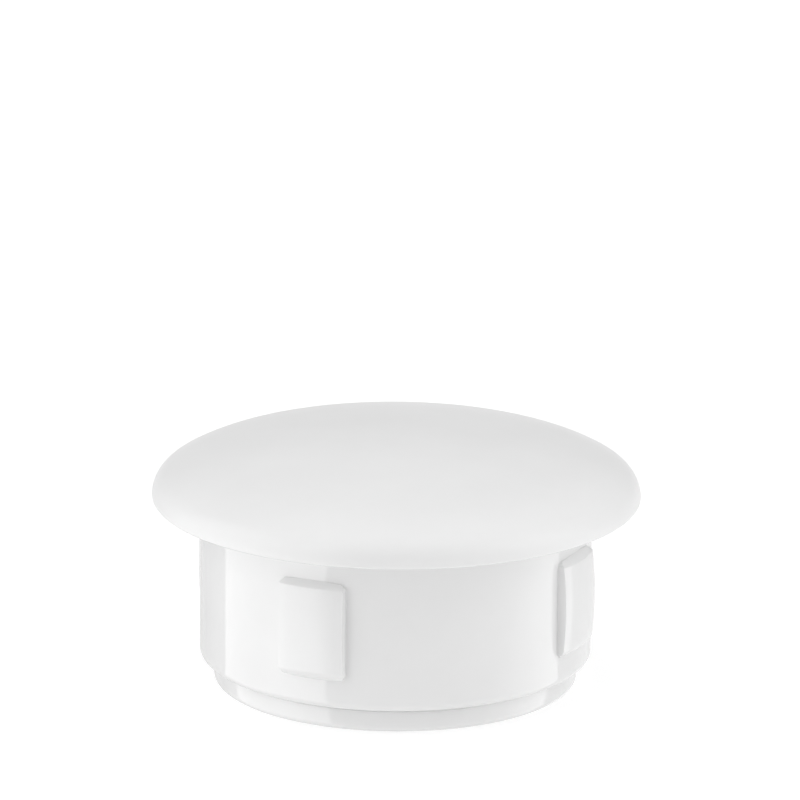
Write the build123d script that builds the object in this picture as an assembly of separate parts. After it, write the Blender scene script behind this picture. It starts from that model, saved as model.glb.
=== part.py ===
"""Snap-in hole plug: one injection-moulded piece for a 25 mm round hole.

A smoothly domed cap with a rounded rim closes the hole from outside.  Below it a
hollow barrel, open at the bottom, goes into the hole, and four crowned snap nubs
on the barrel hold it there.  A smaller lead-in ring below the barrel, set off
from it by a fine groove, finds the hole first.

Frame: Z is the axis of the plug.  Z = 0 is the flat underside of the rim, the
seat that meets the panel, with the cap above it and the barrel below it.
Every profile is drawn as radius against height.
"""

import os
from math import asin, cos, degrees, hypot, radians, sin, sqrt

from build123d import *

# --- the hole it closes ---------------------------------------------------
hole_diameter = 25.0
hole_clearance = 0.3        # the barrel is smaller than the hole by this

# --- cap ------------------------------------------------------------------
rim_overhang = 3.05         # the rim reaches this far beyond the barrel
cap_height = 4.1            # seat to the top of the dome
cap_wall = 1.9              # the dome's thickness at its middle and at the bore's side
ceiling_flat_r = 3.0        # flat middle of the ceiling, bevelled from there to the side
shoulder_radius = 9.7       # curve between the dome and the rim's side
shoulder_tilt = 30.0        # degrees from level where the shoulder meets the side
rim_side_radius = 1.68      # tight outer curve of the rim
rim_band_height = 0.2       # seat to the widest line of the rim
rim_edge_chamfer = 0.15     # broken lower edge of the rim

# --- barrel ---------------------------------------------------------------
barrel_length = 10.35       # seat to the groove
barrel_wall = 1.7
barrel_foot_rise = 0.12     # the foot of the barrel is a shallow cone
barrel_foot_chamfer = 0.35  # between the barrel's side and its foot
seat_root_chamfer = 0.15    # strengthens the root of the barrel under the rim

# --- groove and lead-in ring ------------------------------------------------
ring_step = 0.9             # the ring's side is set in from the barrel's by this
ring_length = 1.4
ring_foot_chamfer = 0.3     # the lead-in
groove_height = 0.12
groove_depth = 0.12         # below the side of the ring

# --- snap nubs --------------------------------------------------------------
nub_count = 4               # evenly round the barrel, the first on +X
nub_width = 4.4
nub_top_gap = 1.97          # seat to the upper end of the nubs
nub_foot_gap = 1.93         # lower end of the nubs to the groove
nub_run_out = 0.38          # length of the slope at each end of the face
nub_proud = 0.65            # crown of the nub beyond the barrel
nub_crown_radius = 25.0     # curve of the face along the axis
nub_brow_radius = 0.3       # softens face into slope
nub_end_bow = 0.12          # each end of the outline bows out by this
nub_corner_radius = 0.35    # corners of the outline
nub_edge_chamfer = 0.2      # broken edge between face and flanks
nub_root = 0.4              # depth of the nub's root inside the barrel wall
nub_margin = 2.0            # spare stock round a nub before its outline is cut

# --- worked out from the sizes above ------------------------------------------
barrel_r = (hole_diameter - hole_clearance) / 2
barrel_side_end = -barrel_length + barrel_foot_rise
cap_r = barrel_r + rim_overhang
ring_r = barrel_r - ring_step
ring_top = -barrel_length - groove_height
groove_r = ring_r - groove_depth
foot = ring_top - ring_length       # the plane that the open end stands on
bore_r = barrel_r - barrel_wall
nub_height = barrel_length - nub_top_gap - nub_foot_gap
nub_face_height = nub_height - 2 * nub_run_out
nub_middle = -nub_top_gap - nub_height / 2

# the cap's three arcs are tangent: each pair of centres is in line with where they meet
side_centre = Vector(cap_r - rim_side_radius, rim_band_height)
lean = Vector(sin(radians(shoulder_tilt)), cos(radians(shoulder_tilt)))
shoulder_centre = side_centre - lean * (shoulder_radius - rim_side_radius)
rise = cap_height - shoulder_centre.Y      # from the shoulder's centre to the top of the dome
dome_radius = (shoulder_centre.X ** 2 + rise ** 2 - shoulder_radius ** 2) / (2 * (rise - shoulder_radius))
dome_centre = Vector(0, cap_height - dome_radius)


def vertex_at(sketch, radius, height):
    """The corner of a profile nearest to a radius and a height."""
    return sketch.vertices().sort_by_distance((radius, height, 0))[0]


def broken(sketch, corners):
    """The profile with each (radius, height, chamfer length) corner chamfered."""
    for radius, height, length in corners:
        sketch = chamfer(vertex_at(sketch, radius, height), length)
    return sketch


def cap_outline():
    """Edges from the top of the dome, over the shoulder, to the rim's side."""
    dome_end = dome_centre + (shoulder_centre - dome_centre).normalized() * dome_radius
    shoulder_end = side_centre + lean * rim_side_radius
    dome = RadiusArc((0, cap_height), dome_end, dome_radius)
    shoulder = RadiusArc(dome_end, shoulder_end, shoulder_radius)
    side = RadiusArc(shoulder_end, (cap_r, rim_band_height), rim_side_radius)
    return [dome, shoulder, side]


def outer_profile():
    """Half section of the plug as if solid, with its corners chamfered."""
    sides = Polyline(
        (cap_r, rim_band_height),
        (cap_r, 0),
        (barrel_r, 0),
        (barrel_r, barrel_side_end),
        (groove_r, -barrel_length),
        (groove_r, ring_top),
        (ring_r, ring_top),
        (ring_r, foot),
        (0, foot),
        (0, cap_height),
    )
    profile = make_face(cap_outline() + [sides])
    return broken(profile, [
        (cap_r, 0, rim_edge_chamfer),
        (barrel_r, 0, seat_root_chamfer),
        (barrel_r, barrel_side_end, barrel_foot_chamfer),
        (ring_r, foot, ring_foot_chamfer),
    ])


def bore():
    """The hollow inside: straight sides, and a bevelled ceiling that keeps to the dome."""
    ceiling = cap_height - cap_wall
    ceiling_edge = dome_centre.Y + sqrt((dome_radius - cap_wall) ** 2 - bore_r ** 2)
    section = Polyline(
        (0, foot),
        (bore_r, foot),
        (bore_r, ceiling_edge),
        (ceiling_flat_r, ceiling),
        (0, ceiling),
        close=True,
    )
    return revolve(Plane.XZ * make_face(section), Axis.Z)


def plug_body():
    """The turned form: outer profile swept round the axis, less the bore."""
    return revolve(Plane.XZ * outer_profile(), Axis.Z) - bore()


def clear_of_barrel(edge):
    """Whether the middle of an edge stands outside the barrel's side."""
    middle = edge @ 0.5
    return hypot(middle.X, middle.Y) > barrel_r + nub_edge_chamfer / 2


def nub():
    """One snap nub pointing along +X, with its root inside the barrel wall."""
    half_face = nub_face_height / 2
    half_height = nub_height / 2
    half_width = nub_width / 2
    crown_drop = nub_crown_radius - sqrt(nub_crown_radius ** 2 - half_face ** 2)
    brow = nub_proud - crown_drop
    slope = nub_run_out / brow
    root_half = half_height + nub_root * slope
    root_r = barrel_r - nub_root

    # section along the axis: crowned face, run-out slopes, flat back in the wall
    crown = RadiusArc((barrel_r + brow, half_face), (barrel_r + brow, -half_face), nub_crown_radius)
    back = Polyline(
        (barrel_r + brow, -half_face),
        (root_r, -root_half),
        (root_r, root_half),
        (barrel_r + brow, half_face),
    )
    section = make_face([crown, back])
    for end in (half_face, -half_face):
        section = fillet(vertex_at(section, barrel_r + brow, end), nub_brow_radius)
    sweep_angle = 2 * degrees(asin((half_width + nub_margin) / barrel_r))
    crowned = revolve(Plane.XZ * section, Axis.Z, sweep_angle)
    crowned = Rot(0, 0, -sweep_angle / 2) * crowned

    # outline seen along X: straight flanks, ends bowed out, corners rounded
    corner = half_height - nub_end_bow
    outline = make_face([
        Line((-half_width, -corner), (-half_width, corner)),
        ThreePointArc((-half_width, corner), (0, half_height), (half_width, corner)),
        Line((half_width, corner), (half_width, -corner)),
        ThreePointArc((half_width, -corner), (0, -half_height), (-half_width, -corner)),
    ])
    outline = fillet(outline.vertices(), nub_corner_radius)
    block = extrude(Plane.YZ.offset(root_r) * outline, nub_root + nub_proud + nub_margin)
    blank = crowned & block

    # the edges where face and slopes run out over the outline
    face_edges = blank.edges().filter_by(GeomType.BSPLINE).filter_by(clear_of_barrel)
    return chamfer(face_edges, nub_edge_chamfer)


def hole_plug():
    """The whole plug: the turned form with a nub on every side."""
    plug = plug_body()
    snap = nub()
    for turn in range(nub_count):
        plug += Rot(0, 0, turn * 360 / nub_count) * Pos(0, 0, nub_middle) * snap
    return plug


plug = hole_plug()
os.makedirs("parts", exist_ok=True)
export_step(plug, "parts/hole_plug.step")
print(f"hole_plug: {len(plug.solids())} solid, {plug.volume:.1f} mm3")
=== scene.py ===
# %% [markdown]
# # A snap-in hole plug
#
# A hole plug closes a round hole in a panel.  It is moulded in one piece of white
# plastic: a domed cap that covers the hole, a hollow barrel that goes in,
# four snap nubs that hold it there, and a narrower lead-in ring at the open end.
#
# This lesson builds the plug's visible shape, gives it its finish and sets it in a
# plain studio.  The sizes come from the solid model that the frame holds, and the
# small roundings, which the solid model leaves as chamfers, are made here.

# %% Load the frame
import math

import bmesh
import bpy
from mathutils import Matrix, Vector


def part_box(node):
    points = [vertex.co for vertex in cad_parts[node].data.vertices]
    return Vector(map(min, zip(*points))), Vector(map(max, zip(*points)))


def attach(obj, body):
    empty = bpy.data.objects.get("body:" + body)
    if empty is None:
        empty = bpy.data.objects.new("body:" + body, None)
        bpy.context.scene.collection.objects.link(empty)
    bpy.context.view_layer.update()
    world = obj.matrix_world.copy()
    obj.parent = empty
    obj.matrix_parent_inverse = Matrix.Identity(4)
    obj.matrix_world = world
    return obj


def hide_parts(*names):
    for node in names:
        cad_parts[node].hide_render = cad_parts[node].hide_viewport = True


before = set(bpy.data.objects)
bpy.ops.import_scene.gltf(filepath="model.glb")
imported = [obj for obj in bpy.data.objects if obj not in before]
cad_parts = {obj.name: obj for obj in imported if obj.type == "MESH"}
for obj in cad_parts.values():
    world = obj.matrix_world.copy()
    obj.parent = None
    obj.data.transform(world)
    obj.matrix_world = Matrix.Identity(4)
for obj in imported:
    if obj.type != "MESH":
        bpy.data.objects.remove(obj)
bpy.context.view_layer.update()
low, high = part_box("hole_plug")
print("frame holds", sorted(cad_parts), "from", low, "to", high)

# %% [markdown]
# ## Sizes
#
# Blender works in metres, and a part this small is easier to read in millimetres,
# so every length below is multiplied by `mm`.  The cap's radius and the two end
# heights come from the frame.  Height zero is the flat underside of the rim, which
# is the face that meets the panel.

# %% Sizes of the plug
mm = 0.001

cap_radius = high.x
cap_height = high.z
foot = low.z                      # the plane that the open end stands on

shoulder_radius = 9.7 * mm        # curve between the dome and the rim's side
shoulder_tilt = math.radians(30)  # how far the cap leans where shoulder meets side
rim_side = 1.68 * mm              # tight outer curve of the rim
rim_band = 0.2 * mm               # seat to the widest line of the rim

barrel_radius = 12.35 * mm
barrel_foot = -10.35 * mm         # the groove's upper edge
barrel_foot_rise = 0.12 * mm      # the barrel's foot is a shallow cone
ring_radius = 11.45 * mm
ring_top = foot + 1.4 * mm
groove_radius = ring_radius - 0.12 * mm
bore_radius = 10.65 * mm
cap_wall = 1.9 * mm
ceiling = cap_height - cap_wall   # inner face of the cap
ceiling_flat = 3.0 * mm           # radius of the ceiling's flat middle

rim_edge = 0.2 * mm               # roundings, each as a radius
seat_root = 0.15 * mm
barrel_edge = 0.5 * mm
ring_edge = 0.1 * mm
ring_lead_in = 0.4 * mm
mouth_edge = 0.15 * mm
bore_corner = 0.9 * mm
ceiling_bend = 30 * mm
print(f"cap {2 * cap_radius / mm:.1f} mm across, {(cap_height - foot) / mm:.2f} mm overall")

# %% [markdown]
# ## The outline of the turned form
#
# Everything but the nubs is round, so it is one outline swept round the axis.  The
# outline could be typed in as a long list of points, but then no size in it could
# be changed.  It is drawn with a pen instead: straight strokes go to a corner, and
# an arc is a vertex spun about the arc's centre.

# %% A pen that draws an outline
class Pen:
    """Draws a wire in the XZ plane, as radius against height."""

    def __init__(self, radius, height):
        self.mesh = bmesh.new()
        self.tip = self.mesh.verts.new((radius, 0, height))

    def line(self, radius, height):
        """A straight stroke; returns the vertex at its end."""
        corner = self.mesh.verts.new((radius, 0, height))
        self.mesh.edges.new((self.tip, corner))
        self.tip = corner
        return corner

    def arc(self, centre, angle, steps):
        """The tip, spun about a centre, clockwise as seen on the drawing."""
        made = bmesh.ops.spin(
            self.mesh, geom=[self.tip], cent=(centre[0], 0, centre[1]),
            axis=(0, 1, 0), angle=angle, steps=steps,
        )
        self.tip = next(v for v in made["geom_last"] if isinstance(v, bmesh.types.BMVert))
        return self.tip

    def round(self, corner, radius, segments):
        """Rounds a corner: the cut back along each stroke follows from the turn."""
        one, other = [(e.other_vert(corner).co - corner.co).normalized() for e in corner.link_edges]
        turn = math.pi - one.angle(other)
        bmesh.ops.bevel(
            self.mesh, geom=[corner], offset=radius * math.tan(turn / 2), offset_type="OFFSET",
            segments=segments, profile=0.5, affect="VERTICES", material=-1,
        )

# %% [markdown]
# ### The cap
#
# The cap is three arcs that meet without a corner: the wide dome, a shoulder that
# bends faster, and the tight side of the rim, upright where it ends.  Two arcs are
# tangent when both centres and the meeting point are in one line.  That fixes the
# shoulder's centre, and then only one dome passes through the top of the cap.

# %% Draw the cap
lean = Vector((math.sin(shoulder_tilt), math.cos(shoulder_tilt)))
side_centre = Vector((cap_radius - rim_side, rim_band))
shoulder_centre = side_centre - lean * (shoulder_radius - rim_side)
rise = cap_height - shoulder_centre.y
dome_radius = (shoulder_centre.x**2 + rise**2 - shoulder_radius**2) / (2 * (rise - shoulder_radius))
dome_centre = Vector((0, cap_height - dome_radius))
dome_turn = math.asin(shoulder_centre.x / (dome_radius - shoulder_radius))

dome_steps = 30
shoulder_steps = 12
side_steps = 16
pen = Pen(0, cap_height)
pen.arc(dome_centre, dome_turn, dome_steps)
pen.arc(shoulder_centre, shoulder_tilt - dome_turn, shoulder_steps)
pen.arc(side_centre, math.pi / 2 - shoulder_tilt, side_steps)
print(f"dome of {dome_radius / mm:.1f} mm turns {math.degrees(dome_turn):.1f} degrees")
print("the rim's side ends at", pen.tip.co / mm)

# %% [markdown]
# ### Barrel, groove, ring and bore
#
# Down from the rim the outline is straight strokes.  The corners are rounded after
# the strokes are drawn, as a mould maker breaks each edge last.

# %% Draw the rest and round the corners
rim_corner = pen.line(cap_radius, 0)
seat_corner = pen.line(barrel_radius, 0)
barrel_corner = pen.line(barrel_radius, barrel_foot + barrel_foot_rise)
pen.line(groove_radius, barrel_foot)
pen.line(groove_radius, ring_top)
ring_corner = pen.line(ring_radius, ring_top)
lead_in = pen.line(ring_radius, foot)
mouth = pen.line(bore_radius, foot)
ceiling_edge = dome_centre.y + math.sqrt((dome_radius - cap_wall) ** 2 - bore_radius**2)
inner_corner = pen.line(bore_radius, ceiling_edge)
bevel_corner = pen.line(ceiling_flat, ceiling)
pen.line(0, ceiling)

roundings = (
    # corner, radius, segments
    (rim_corner, rim_edge, 6),
    (seat_corner, seat_root, 4),
    (barrel_corner, barrel_edge, 10),
    (ring_corner, ring_edge, 4),
    (lead_in, ring_lead_in, 10),
    (mouth, mouth_edge, 4),
    (inner_corner, bore_corner, 8),
    (bevel_corner, ceiling_bend, 6),
)
for corner, rounding, segments in roundings:
    pen.round(corner, rounding, segments)
print("outline has", len(pen.mesh.verts), "points")

# %% [markdown]
# ## Sweeping the outline
#
# A full spin turns the wire into a closed skin.  The steps are many, because the
# barrel is glossy and a coarse one would show flats in its reflections.  Their
# number is a multiple of four, so that each nub meets the same facets.

# %% Spin the body
turn_steps = 480
same_point = 0.001 * mm           # points nearer than this are merged


def turned_body(outline, steps):
    """The closed skin that an outline leaves when it is spun round the axis."""
    bmesh.ops.spin(
        outline, geom=outline.verts[:] + outline.edges[:], cent=(0, 0, 0), axis=(0, 0, 1),
        angle=2 * math.pi, steps=steps, use_merge=True,
    )
    bmesh.ops.remove_doubles(outline, verts=outline.verts, dist=same_point)
    bmesh.ops.recalc_face_normals(outline, faces=outline.faces)
    return outline


def finished_object(name, mesh):
    """A scene object that holds a bmesh's result."""
    data = bpy.data.meshes.new(name)
    mesh.to_mesh(data)
    mesh.free()
    made = bpy.data.objects.new(name, data)
    bpy.context.scene.collection.objects.link(made)
    print(name, "has", len(data.polygons), "faces")
    return made


plug = finished_object("moulded_plug", turned_body(pen.mesh, turn_steps))

# %% [markdown]
# ## The snap nubs
#
# Each nub is a low pad on the barrel.  Its face is crowned along the axis, follows
# the barrel round and falls away a little to its flanks.  At both ends it runs out
# into the barrel over a slope, with a crisp brow at the top and a soft one below.
# Seen from outside its flanks are straight, its ends bow out and its corners are round.
#
# It could be cut from a solid, but a cut leaves ragged edges that are hard to round.
# Here it starts as a flat plate of the right outline.  Insets, each a little deeper
# than the last, round its edge, plane cuts give it points to bend at, and then every
# point is lifted to its height over the barrel.

# %% Sizes of a nub
nub_count = 4
nub_middle = -5.195 * mm
nub_half_width = 2.2 * mm
nub_half_height = 3.225 * mm      # along the axis, at the middle of an end
nub_end_bow = 0.12 * mm
nub_corner = 0.35 * mm
nub_proud = 0.67 * mm             # crown beyond the barrel
nub_half_face = 2.845 * mm        # where face turns to slope
nub_crown = 25 * mm
nub_top_brow = 0.15 * mm          # softens face into slope, crisp at the top
nub_low_brow = 0.5 * mm           # and soft at the bottom
nub_roll = 0.07 * mm              # how far the face falls away towards its flanks
nub_roll_width = 0.8 * mm
nub_edge = 0.2 * mm
nub_root = 0.6 * mm               # depth inside the barrel's wall
nub_sink = 0.03 * mm              # lets the edge dip cleanly into the barrel

corner_segments = 6
end_cuts = 15                     # points along an end, for its bow
edge_rounds = 6
pitch_along = 0.1 * mm            # between cuts along the axis, where the face bends most
pitch_across = 0.25 * mm          # and between those round the barrel

# %% Height of a nub over the barrel
crown_drop = nub_crown - math.sqrt(nub_crown**2 - nub_half_face**2)
brow_height = nub_proud - crown_drop
slope = brow_height / (nub_half_height - nub_half_face)
face_slope = nub_half_face / (nub_crown - crown_drop)
brow_turn = math.atan(slope) - math.atan(face_slope)
brow_blend = math.tan(brow_turn / 2) * (slope - face_slope)


def nub_height(along):
    """Height over the barrel at a distance from the nub's middle, up or down the axis."""
    blend = brow_blend * (nub_top_brow if along > 0 else nub_low_brow)
    along = abs(along)
    face = nub_proud - nub_crown + math.sqrt(nub_crown**2 - along**2)
    run_out = brow_height - (along - nub_half_face) * slope
    # the lower of the two wins, and near the brow they melt into one curve
    near = max(blend - abs(face - run_out), 0)
    return min(face, run_out) - near**2 / (4 * blend)


print("heights in mm:", [round(nub_height(z * mm) / mm, 3) for z in (0, 2, 2.5, 2.8, 3, 3.2)])

# %% Cut the plate to the nub's outline
def nub_plate():
    """A flat plate in the YZ plane, facing +X, with the nub's outline and rounded corners."""
    plate = bmesh.new()
    straight = nub_half_height - nub_end_bow
    bmesh.ops.create_grid(plate, x_segments=1, y_segments=1, size=1)
    bmesh.ops.rotate(plate, verts=plate.verts, matrix=Matrix.Rotation(math.pi / 2, 3, "Y"))
    bmesh.ops.scale(plate, verts=plate.verts, vec=(1, nub_half_width, straight))
    bmesh.ops.bevel(
        plate, geom=plate.verts[:], offset=nub_corner, offset_type="OFFSET",
        segments=corner_segments, profile=0.5, affect="VERTICES", material=-1,
    )
    ends = [e for e in plate.edges if all(abs(v.co.z) > straight - nub_corner / 100 for v in e.verts)]
    bmesh.ops.subdivide_edges(plate, edges=ends, cuts=end_cuts)
    for v in plate.verts:
        bow = nub_end_bow * (1 - (v.co.y / nub_half_width) ** 2)
        v.co.z += math.copysign(bow, v.co.z) * abs(v.co.z) / straight
    return plate


def round_edge(plate, radius, rounds):
    """Insets the face in rings that climb a quarter circle."""
    face = plate.faces[:]
    angles = [math.pi / 2 * step / rounds for step in range(rounds + 1)]
    for before, after in zip(angles, angles[1:]):
        bmesh.ops.inset_region(
            plate, faces=face, use_even_offset=True,
            thickness=radius * (math.cos(before) - math.cos(after)),
            depth=radius * (math.sin(after) - math.sin(before)),
        )


def slice_across(plate, direction, reach, pitch):
    """Plane cuts at an even pitch along a direction, so that the plate can bend there."""
    count = math.ceil(2 * reach / pitch)
    for step in range(1, count):
        bmesh.ops.bisect_plane(
            plate, geom=plate.verts[:] + plate.edges[:] + plate.faces[:],
            plane_co=direction * (2 * reach * step / count - reach), plane_no=direction,
        )

# %% Raise the nub on the barrel
def snap_nub():
    """One closed nub on the +X side, its root inside the barrel's wall."""
    nub = nub_plate()
    round_edge(nub, nub_edge, edge_rounds)
    slice_across(nub, Vector((0, 0, 1)), nub_half_height, pitch_along)
    slice_across(nub, Vector((0, 1, 0)), nub_half_width, pitch_across)

    rim = [e for e in nub.edges if e.is_boundary]
    skirt = bmesh.ops.extrude_edge_only(nub, edges=rim)["geom"]
    root = {v for v in skirt if isinstance(v, bmesh.types.BMVert)}
    for v in nub.verts:
        if v in root:
            v.co.x = barrel_radius - nub_root
        else:
            height = nub_height(v.co.z)
            rolled = max(abs(v.co.y) - nub_half_width + nub_roll_width, 0) / nub_roll_width
            height -= min(nub_roll * rolled**2, height)
            edge_drop = (min(height, nub_edge) + nub_sink) * (1 - v.co.x / nub_edge)
            v.co.x = math.sqrt((barrel_radius + height - edge_drop) ** 2 - v.co.y**2)
        v.co.z += nub_middle
    bmesh.ops.edgeloop_fill(nub, edges=[e for e in nub.edges if e.is_boundary])
    bmesh.ops.recalc_face_normals(nub, faces=nub.faces)
    return nub


nubs = snap_nub()
bmesh.ops.spin(
    nubs, geom=nubs.verts[:] + nubs.edges[:] + nubs.faces[:], cent=(0, 0, 0), axis=(0, 0, 1),
    angle=2 * math.pi * (nub_count - 1) / nub_count, steps=nub_count - 1, use_duplicate=True,
)
nub_pads = finished_object("nub_pads", nubs)

# %% [markdown]
# ## One moulding
#
# The nubs are not stuck on: the plug is one piece.  A union joins them to the barrel
# and drops what lies inside the wall, which leaves a crisp line where a nub's flank
# meets the barrel, as the mould leaves it.  Where a cut in the nub runs along a column
# of the barrel's faces, the union leaves faces of no width, and these are dissolved.
#
# Long faces next to small roundings shade badly when every face counts the same at
# a corner, so the normals are weighted by area: the barrel's tall faces then keep
# theirs, and the roundings do the bending.

# %% Join and smooth
def join(body, parts):
    """The union of two closed objects, kept as the first one's mesh."""
    union = body.modifiers.new("union", "BOOLEAN")
    union.operation = "UNION"
    union.solver = "EXACT"
    union.object = parts
    bpy.context.view_layer.update()
    joined = bpy.data.meshes.new_from_object(body.evaluated_get(bpy.context.evaluated_depsgraph_get()))
    body.modifiers.clear()
    body.data = joined
    bpy.data.objects.remove(parts)


def dissolve_slivers(body, reach):
    """Clears the faces of no width that a union can leave where cuts coincide."""
    skin = bmesh.new()
    skin.from_mesh(body.data)
    before = len(skin.faces)
    bmesh.ops.dissolve_degenerate(skin, dist=reach, edges=skin.edges)
    print(f"slivers dissolved: {before - len(skin.faces)}")
    skin.to_mesh(body.data)
    skin.free()


sliver_width = 0.0005 * mm
crisp_angle = math.radians(24)    # a steeper edge than this stays a sharp line

join(plug, nub_pads)
dissolve_slivers(plug, sliver_width)
plug.data.shade_smooth()
plug.data.set_sharp_from_angle(angle=crisp_angle)
weighted = plug.modifiers.new("weighted_normals", "WEIGHTED_NORMAL")
weighted.mode = "FACE_AREA"
weighted.keep_sharp = True

check = bmesh.new()
check.from_mesh(plug.data)
open_edges = sum(not e.is_manifold for e in check.edges)
volume = check.calc_volume() / mm**3
print(f"joined plug: {len(check.faces)} faces, {open_edges} open edges, {volume:.0f} mm3")
check.free()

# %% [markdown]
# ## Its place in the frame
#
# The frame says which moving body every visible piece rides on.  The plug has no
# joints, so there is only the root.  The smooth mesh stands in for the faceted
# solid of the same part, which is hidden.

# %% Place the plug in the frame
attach(plug, "root")
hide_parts("hole_plug")
print("the plug rides on the root and replaces the solid model")

# %% [markdown]
# ## Arithmetic that builds a shader
#
# A finish here is a few numbers that change over the surface, such as how rough it
# is or how high its grain stands.  Each could be wired up by hand from Math nodes.
# It is easier to read as arithmetic, so a small class adds the Math node for every
# `+` and `*` written between two values.  Every other node comes from one method,
# which is given the node's type, its settings and what goes into its sockets.

# %% Shader maths
class Value:
    """A number that varies over a surface; arithmetic on it adds Math nodes."""

    def __init__(self, tree, socket):
        self.tree = tree
        self.socket = socket

    def calculate(self, operation, *operands):
        """A Math node with these operands, in order."""
        node = self.tree.nodes.new("ShaderNodeMath")
        node.operation = operation
        for slot, operand in zip(node.inputs, operands):
            if isinstance(operand, Value):
                self.tree.links.new(operand.socket, slot)
            else:
                slot.default_value = operand
        return Value(self.tree, node.outputs[0])

    def __add__(self, other):
        return self.calculate("ADD", self, other)

    __radd__ = __add__

    def __sub__(self, other):
        return self.calculate("SUBTRACT", self, other)

    def __rsub__(self, other):
        return self.calculate("SUBTRACT", other, self)

    def __mul__(self, other):
        return self.calculate("MULTIPLY", self, other)

    __rmul__ = __mul__

    def __pow__(self, other):
        return self.calculate("POWER", self, other)


class Nodes:
    """Adds nodes to a shader tree."""

    def __init__(self, tree):
        self.tree = tree

    def node(self, kind, settings=None, inputs=None):
        """Adds a node: its settings first, then the values or links of its sockets."""
        made = self.tree.nodes.new(kind)
        for name, value in (settings or {}).items():
            setattr(made, name, value)
        self.feed(made, inputs or {})
        return made

    def feed(self, node, inputs):
        """Sets or links sockets of a node, by name or by number."""
        for name, value in inputs.items():
            if isinstance(value, Value):
                self.tree.links.new(value.socket, node.inputs[name])
            elif isinstance(value, bpy.types.NodeSocket):
                self.tree.links.new(value, node.inputs[name])
            else:
                node.inputs[name].default_value = value

    def number(self, node, output):
        """A node's output as a number to calculate with."""
        return Value(self.tree, node.outputs[output])

    def rise(self, number, middle, softness):
        """0 below the middle and 1 above it, with a soft step between."""
        step = self.node("ShaderNodeMapRange", {"interpolation_type": "SMOOTHSTEP"}, {
            "Value": number, "From Min": middle - softness, "From Max": middle + softness,
        })
        return self.number(step, "Result")


class Finish(Nodes):
    """A material under construction."""

    def __init__(self, name):
        self.material = bpy.data.materials.new(name)
        self.material.use_nodes = True
        super().__init__(self.material.node_tree)
        self.shader = next(n for n in self.tree.nodes if n.type == "BSDF_PRINCIPLED")

    def clouds(self, place, size, detail):
        """A soft random pattern round zero, from about -0.5 to 0.5, with patches of a size."""
        noise = self.node("ShaderNodeTexNoise", inputs={
            "Vector": place, "Scale": 1 / size, "Detail": detail,
        })
        return self.number(noise, "Fac") - 0.5

# %% [markdown]
# ## The white plastic: where each finish is
#
# One material covers the whole plug, but the mould that shaped it is finished in
# three ways.  The cap is moulded against an eroded face, which leaves it satin with
# a grain as fine as paper.  The nubs are a little smoother.  The barrel and
# the ring come off turned and polished steel and shine.  The bore is left as the
# core's cutter left it, and few people look in.
#
# Three materials would leave a hard line between the finishes.  Here one material
# knows from the height and the distance to the axis which finish it is on.

# %% Where each finish is
plastic = Finish("white_moulded_plastic")
place = plastic.node("ShaderNodeTexCoord").outputs["Object"]
split = plastic.node("ShaderNodeSeparateXYZ", inputs={"Vector": place})
x, y, z = (plastic.number(split, axis) for axis in "XYZ")
radius = (x * x + y * y) ** 0.5

blend = 0.02 * mm                 # how softly one finish turns into the next
on_cap = plastic.rise(z, seat_root / 2, blend)
beyond_barrel = plastic.rise(radius, barrel_radius + 2 * blend, blend)
on_nub = beyond_barrel * (1 - on_cap)
within_bore = 1 - plastic.rise(radius, bore_radius + 2 * blend, blend)
under_cap = 1 - plastic.rise(z, ceiling + 2 * blend, blend)
inside = within_bore * under_cap
outside = 1 - inside
print(f"satin above {seat_root / 2 / mm:.3f} mm, nub finish beyond {barrel_radius / mm:.2f} mm")

# %% [markdown]
# ## The white plastic: gloss, tone and grain
#
# Roughness is the main difference between the finishes, so each gets its own, and
# clouds a few millimetres wide shift it a little, because flow and cooling never
# leave a face quite even.  The white itself is two whites that hardly differ,
# mixed by wider clouds.
#
# The surface isn't flat either.  A bump carries three layers, with heights in real
# lengths: the cap's grain, a finer one on the nubs, and long low waves all over,
# where the skin has sunk a hair's breadth.  On the glossy barrel the waves are what
# makes the reflections' edges wander.

# %% Gloss and tone
cap_roughness = 0.36
nub_roughness = 0.20
barrel_roughness = 0.04
bore_roughness = 0.30
cap_flow = 0.08                   # how far the clouds shift each roughness
nub_flow = 0.06
barrel_flow = 0.02
flow_size = 2.5 * mm
tone_size = 4 * mm
duller_white = (0.81, 0.81, 0.81, 1)
brighter_white = (0.85, 0.85, 0.85, 1)

flow = plastic.clouds(place, flow_size, 3)
roughness = (
    inside * bore_roughness
    + outside * on_cap * (cap_roughness + cap_flow * flow)
    + outside * on_nub * (nub_roughness + nub_flow * flow)
    + outside * (1 - on_cap) * (1 - on_nub) * (barrel_roughness + barrel_flow * flow)
)
tone = plastic.node("ShaderNodeMix", {"data_type": "RGBA"}, {
    "Factor": plastic.clouds(place, tone_size, 4) + 0.5,
    "A": duller_white,
    "B": brighter_white,
})
print(f"roughness: cap {cap_roughness}, nubs {nub_roughness}, barrel {barrel_roughness}")

# %% Grain and waves
grain_size = 0.12 * mm
grain_height = 0.004 * mm
nub_grain_size = 0.20 * mm
nub_grain_height = 0.003 * mm
wave_size = 3 * mm
wave_height = 0.002 * mm

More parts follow.
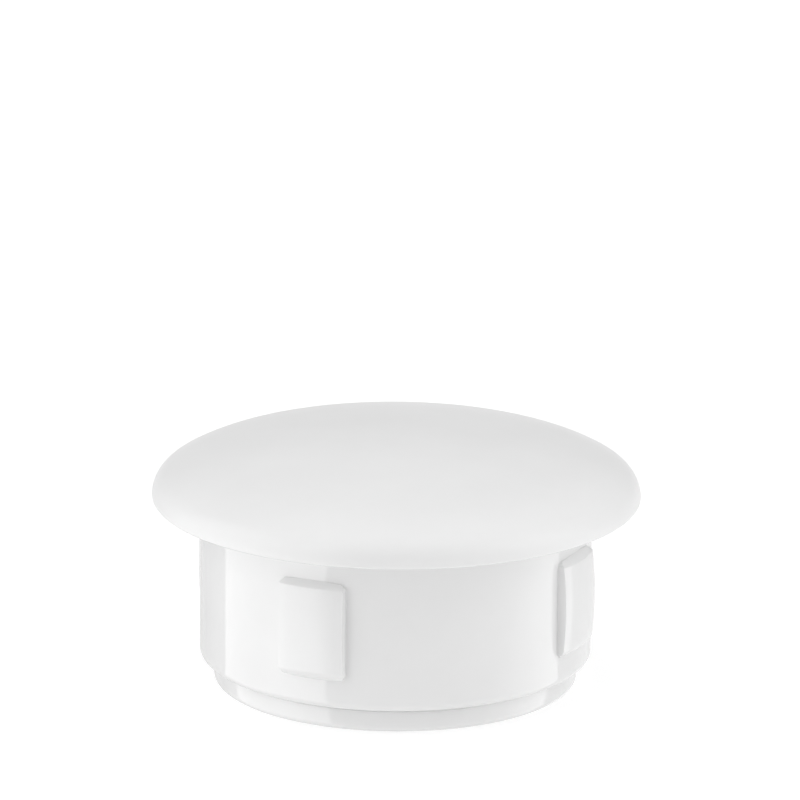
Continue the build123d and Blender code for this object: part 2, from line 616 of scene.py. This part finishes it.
grain = plastic.clouds(place, grain_size, 2) * grain_height * on_cap
nub_grain = plastic.clouds(place, nub_grain_size, 2) * nub_grain_height * on_nub
waves = plastic.clouds(place, wave_size, 1) * wave_height
relief = plastic.node("ShaderNodeBump", inputs={
    "Height": outside * (grain + nub_grain) + waves, "Distance": 1.0, "Strength": 1.0,
})
plastic.feed(plastic.shader, {
    "Base Color": tone.outputs["Result"],
    "Roughness": roughness,
    "Normal": relief.outputs["Normal"],
    "IOR": 1.52,
    "Subsurface Weight": 0.15,         # light goes in a little way and softens the edges
    "Subsurface Scale": 0.6 * mm,
    "Subsurface Radius": (1, 1, 1),
})
plug.data.materials.append(plastic.material)
print("white plastic has", len(plastic.tree.nodes), "nodes")

# %% [markdown]
# ## The floor
#
# The plug stands on its open end on a plain white table.  The table is wide enough
# that no edge shows.  It glows a little, as a translucent table lit from
# below does, so that the plug's shadow is almost gone, and the light that comes up
# from it fills the underside of the rim.  The table's own mirror image would blot out
# the studio in the glossy barrel, so it is left out of reflections.  From below the
# table is clear, so that the bore can be looked into, and it lies a hair under the
# plug's foot, so that the two faces are not in one plane.

# %% Floor
table_half_width = 3
table_gap = 0.01 * mm             # below the plug's foot
table_glow = 0.58
floor_mesh = bmesh.new()
bmesh.ops.create_grid(floor_mesh, x_segments=1, y_segments=1, size=table_half_width)
bmesh.ops.translate(floor_mesh, verts=floor_mesh.verts, vec=(0, 0, foot - table_gap))
floor = finished_object("floor", floor_mesh)
pale = Finish("pale_floor")
pale.feed(pale.shader, {
    "Base Color": (0.5, 0.5, 0.5, 1),
    "Roughness": 0.9,
    "Specular IOR Level": 0.2,
    "Emission Color": (1, 1, 1, 1),
    "Emission Strength": table_glow,
})
seen_from_below = pale.node("ShaderNodeNewGeometry").outputs["Backfacing"]
clear = pale.node("ShaderNodeBsdfTransparent").outputs["BSDF"]
surface = pale.node("ShaderNodeMixShader", inputs={
    0: seen_from_below, 1: pale.shader.outputs["BSDF"], 2: clear,
})
output = next(n for n in pale.tree.nodes if n.type == "OUTPUT_MATERIAL")
pale.feed(output, {"Surface": surface.outputs["Shader"]})
floor.data.materials.append(pale.material)
floor.visible_glossy = False
print("table", 2 * table_half_width, "m wide at height", round(foot / mm, 2), "mm")

# %% [markdown]
# ## The camera
#
# The camera looks from a little above, far away and with a long lens, which is how
# small parts are shown in a catalogue: the round cap then stays an even ellipse.
# It turns about the plug, so one nub faces left of the middle and the next is seen
# almost edge on at the right.  It is aimed a little above the plug, which then sits
# in the lower half of the picture.

# %% Camera
view_azimuth = math.radians(24.7)     # to the right of the plug's front
view_elevation = math.radians(17.1)
view_distance = 0.7
view_roll = math.radians(0.4)
aim_up = math.radians(0.500)          # tilts the view up, away from the rim's seat
aim_side = math.radians(0.019)
lens_length = 500                     # in millimetres, as a camera's lens is named
sensor_width = 36


def towards(azimuth, elevation):
    """A direction from the plug: azimuth 0 is the camera's, and more is to its right."""
    turned = view_azimuth + math.radians(azimuth)
    raised = math.radians(elevation)
    level = math.cos(raised)
    return Vector((math.sin(turned) * level, -math.cos(turned) * level, math.sin(raised)))


camera_data = bpy.data.cameras.new("camera")
camera_data.lens = lens_length
camera_data.sensor_width = sensor_width
camera_data.clip_start = 0.01
camera_data.clip_end = 20
camera = bpy.data.objects.new("camera", camera_data)
bpy.context.scene.collection.objects.link(camera)
back = towards(0, math.degrees(view_elevation))
facing = (-back).to_track_quat("-Z", "Y").to_matrix().to_4x4()
aim = (
    Matrix.Rotation(view_roll, 4, "Z") @ Matrix.Rotation(aim_up, 4, "X")
    @ Matrix.Rotation(-aim_side, 4, "Y")
)
camera.matrix_world = Matrix.Translation(back * view_distance) @ facing @ aim
bpy.context.scene.camera = camera
print("camera at", [round(c, 3) for c in camera.matrix_world.translation], "m")

# %% [markdown]
# ## The studio
#
# White on white shows its form only by small steps of grey.  In a studio they come
# from two tall soft panels, one to the left and a little behind, one to the right,
# while the side behind the camera stays dark.  The panels light the flanks, their
# mirror images put bright bands with crisp edges on the glossy barrel, and the dark
# between them keeps the barrel's middle grey.
#
# Area lights could stand for the panels, but the upright barrel mirrors what lies
# below the table's height, past its edge, where the panels are cut off and dimmer.
# So the studio is painted on the world instead.  Each panel is a range of
# directions round the plug, in degrees, with soft edges.

# %% Directions round the plug
world = bpy.data.worlds.new("studio")
world.use_nodes = True
studio = Nodes(world.node_tree)
ray = studio.node("ShaderNodeTexCoord").outputs["Generated"]


def along(direction):
    """How far a ray points along a direction, from -1 to 1."""
    dot = studio.node("ShaderNodeVectorMath", {"operation": "DOT_PRODUCT"}, {0: ray, 1: direction})
    return studio.number(dot, "Value")


rightwards = along(towards(90, 0))
forwards = along(towards(0, 0))
upwards = along(Vector((0, 0, 1)))
azimuth = rightwards.calculate("ARCTAN2", rightwards, forwards) * math.degrees(1)
elevation = upwards.calculate("ARCSINE", upwards) * math.degrees(1)
print("a ray's azimuth and elevation are known, in degrees")

# %% [markdown]
# ### What stands where
#
# A panel has a left and a right edge, a foot and a top.  The mirror images show
# how sharp each edge is.  The left panel ends abruptly on both sides.  The right one
# fades in from the front and ends abruptly at the back.
#
# Azimuth 0 is the camera, negative is to its left, and 180 is straight behind the
# plug.  Elevation 0 is level, and 90 is overhead.  The last factor of each light is
# its brightness.

# %% Panels, ceiling and walls
def band(number, start, end, start_blur, end_blur):
    """1 between two values of a number and 0 outside them, with soft edges."""
    return studio.rise(number, start, start_blur) * (1 - studio.rise(number, end, end_blur))


above_table = band(elevation, 0, 50, 3, 10)
below_table = band(elevation, -40, 0, 14, 4)

left_near = -41.6                 # the left panel's edge on the camera's side
left_split = -80                  # its foot is brighter from here to that edge
left_panel = band(azimuth, -118, left_near, 4, 4) * above_table * 1.3
left_foot = band(azimuth, -120, left_split, 1, 12) * below_table * 1.3
left_foot_near = band(azimuth, left_split, left_near, 12, 1) * below_table * 1.8
right_panel = band(azimuth, 50, 105.8, 10, 1) * above_table * 1.4
right_foot = band(azimuth, 80, 111.5, 30, 1) * below_table * 1.4
corner_lamp = band(azimuth, 105, 155, 10, 10) * band(elevation, 30, 60, 8, 8) * 0.5

ceiling_glow = studio.rise(elevation, 55, 12) * 1.1
walls = band(elevation, 20, 55, 12, 12) * 0.5
horizon = band(elevation, -2, 20, 6, 12) * 0.25
ground = (1 - studio.rise(elevation, -10, 30)) * 0.5

# the far side of the table glows in what is seen at a grazing angle
far_right = band(azimuth, 134, 200, 22, 1) * below_table * 0.5
far_left = band(azimuth, -200, -152, 1, 16) * below_table * 0.35
far_middle = studio.rise(-1 * forwards, 0.96, 0.03) * (1 - studio.rise(elevation, 0, 5)) * 0.4

# %% Hang the studio round the plug
light = left_panel + left_foot + left_foot_near + right_panel + right_foot + corner_lamp
light = light + ceiling_glow + walls + horizon + ground
light = light + far_right + far_left + far_middle
studio.feed(world.node_tree.nodes["Background"], {"Color": (1, 1, 1, 1), "Strength": light})
bpy.context.scene.world = world
bpy.context.scene.view_settings.view_transform = "Standard"
print("studio has", len(studio.tree.nodes), "nodes")
